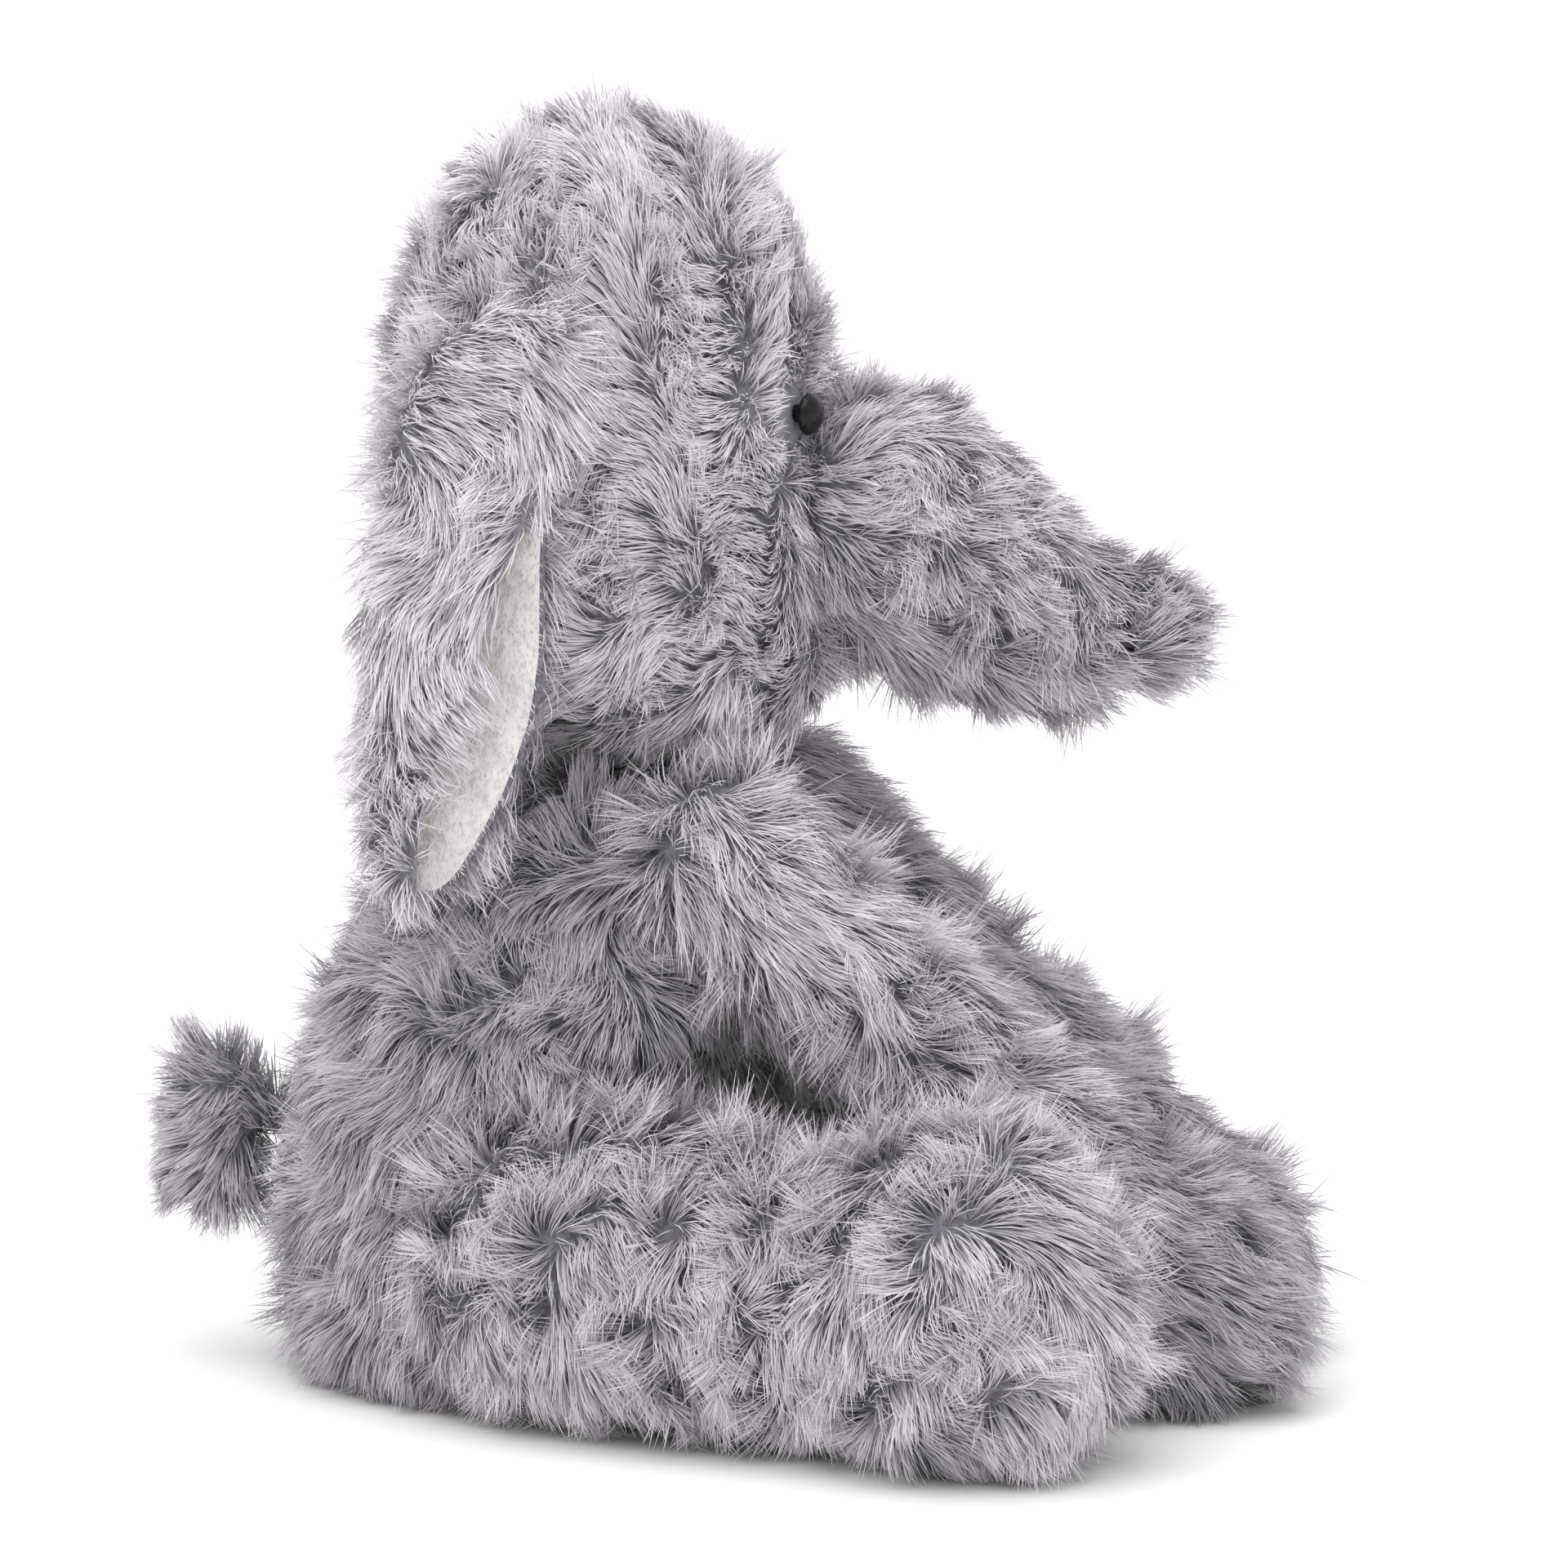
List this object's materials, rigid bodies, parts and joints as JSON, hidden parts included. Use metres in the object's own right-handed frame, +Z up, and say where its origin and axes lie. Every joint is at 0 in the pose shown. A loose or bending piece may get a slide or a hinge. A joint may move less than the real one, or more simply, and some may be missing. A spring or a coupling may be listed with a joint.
{
  "type": "stuffed elephant",
  "caption": "Seated plush elephant in long grey fur, with a forward trunk, folded hanging ears lined in pale velvet, long arms, splayed legs and a tufted tail.",
  "frame": {"origin": "middle of the flat patch of the seat, on the surface the toy sits on", "axes": "+Z up, the body faces -Y, its left side is +X"},
  "size_m": [0.2379, 0.2309, 0.256],
  "materials": {
    "long_fur": "long pile faux fur in soft clumps",
    "velvet_lining": "short smooth velvet",
    "eye": "polished",
    "washer": "moulded",
    "filling": "loose polyester fibre",
    "pellets": "plain woven bag of pellets"
  },
  "bodies": {
    "torso": {"body_side_left": "long_fur", "body_side_right": "long_fur", "belly_panel": "long_fur", "seat_panel": "long_fur", "body_stuffing": "filling", "pellet_bag": "pellets"},
    "neck": {"neck_stuffing": "filling"},
    "head": {"head_side_left": "long_fur", "head_side_right": "long_fur", "head_gusset": "long_fur", "head_stuffing": "filling", "eye_left": "eye", "eye_right": "eye", "eye_washer_left": "washer", "eye_washer_right": "washer"},
    "trunk": {"trunk_cover_left": "long_fur", "trunk_cover_right": "long_fur", "trunk_stuffing": "filling"},
    "trunk_tip": {"trunk_tip_cover": "long_fur", "trunk_tip_stuffing": "filling"},
    "tail": {"tail_stem": "long_fur", "tail_tuft": "long_fur"},
    "ear_left": {"ear_fur_left": "long_fur", "ear_lining_left": "velvet_lining"},
    "arm_left": {"arm_outer_left": "long_fur", "arm_inner_left": "long_fur", "arm_stuffing_left": "filling"},
    "leg_left": {"leg_outer_left": "long_fur", "leg_inner_left": "long_fur", "leg_stuffing_left": "filling", "foot_cover_left": "long_fur", "foot_sole_left": "long_fur", "foot_stuffing_left": "filling"},
    "ear_right": {"ear_fur_right": "long_fur", "ear_lining_right": "velvet_lining"},
    "arm_right": {"arm_outer_right": "long_fur", "arm_inner_right": "long_fur", "arm_stuffing_right": "filling"},
    "leg_right": {"leg_outer_right": "long_fur", "leg_inner_right": "long_fur", "leg_stuffing_right": "filling", "foot_cover_right": "long_fur", "foot_sole_right": "long_fur", "foot_stuffing_right": "filling"}
  },
  "joints": [
    {"name": "neck_turn", "type": "hinge", "parent": "torso", "child": "neck", "pos_m": [0, -0.014, 0.118], "axis": [0, 0, 1], "range_deg": [-28, 12]},
    {"name": "head_nod", "type": "hinge", "parent": "neck", "child": "head", "pos_m": [0, -0.014, 0.118], "axis": [0.9903, 0.1392, 0], "range_deg": [-12, 12]},
    {"name": "trunk_lift", "type": "hinge", "parent": "head", "child": "trunk", "pos_m": [0.00765, -0.06846, 0.176], "axis": [-0.9903, -0.1392, 0], "range_deg": [-12, 20]},
    {"name": "trunk_curl", "type": "hinge", "parent": "trunk", "child": "trunk_tip", "pos_m": [0.01273, -0.10461, 0.1545], "axis": [-0.9903, -0.1392, 0], "range_deg": [-20, 25]},
    {"name": "ear_lift_left", "type": "hinge", "parent": "head", "child": "ear_left", "pos_m": [0.03764, 0.00888, 0.224], "axis": [0.4384, -0.8988, 0], "range_deg": [0, 50]},
    {"name": "ear_lift_right", "type": "hinge", "parent": "head", "child": "ear_right", "pos_m": [-0.04249, -0.00238, 0.224], "axis": [0.1736, 0.9848, 0], "range_deg": [0, 50]},
    {"name": "arm_swing_left", "type": "hinge", "parent": "torso", "child": "arm_left", "pos_m": [0.034, -0.04, 0.113], "axis": [-0.9962, 0.0872, 0], "range_deg": [0, 25]},
    {"name": "arm_swing_right", "type": "hinge", "parent": "torso", "child": "arm_right", "pos_m": [-0.034, -0.04, 0.113], "axis": [-0.9962, -0.0872, 0], "range_deg": [0, 25]},
    {"name": "leg_lift_left", "type": "hinge", "parent": "torso", "child": "leg_left", "pos_m": [0.046, -0.009, 0.033], "axis": [-0.8572, -0.515, 0], "range_deg": [0, 25]},
    {"name": "leg_lift_right", "type": "hinge", "parent": "torso", "child": "leg_right", "pos_m": [-0.046, -0.009, 0.033], "axis": [-0.9063, 0.4226, 0], "range_deg": [0, 25]},
    {"name": "tail_wag", "type": "hinge", "parent": "torso", "child": "tail", "pos_m": [0, 0.0496, 0.053], "axis": [0, 0, 1], "range_deg": [-30, 30]}
  ]
}
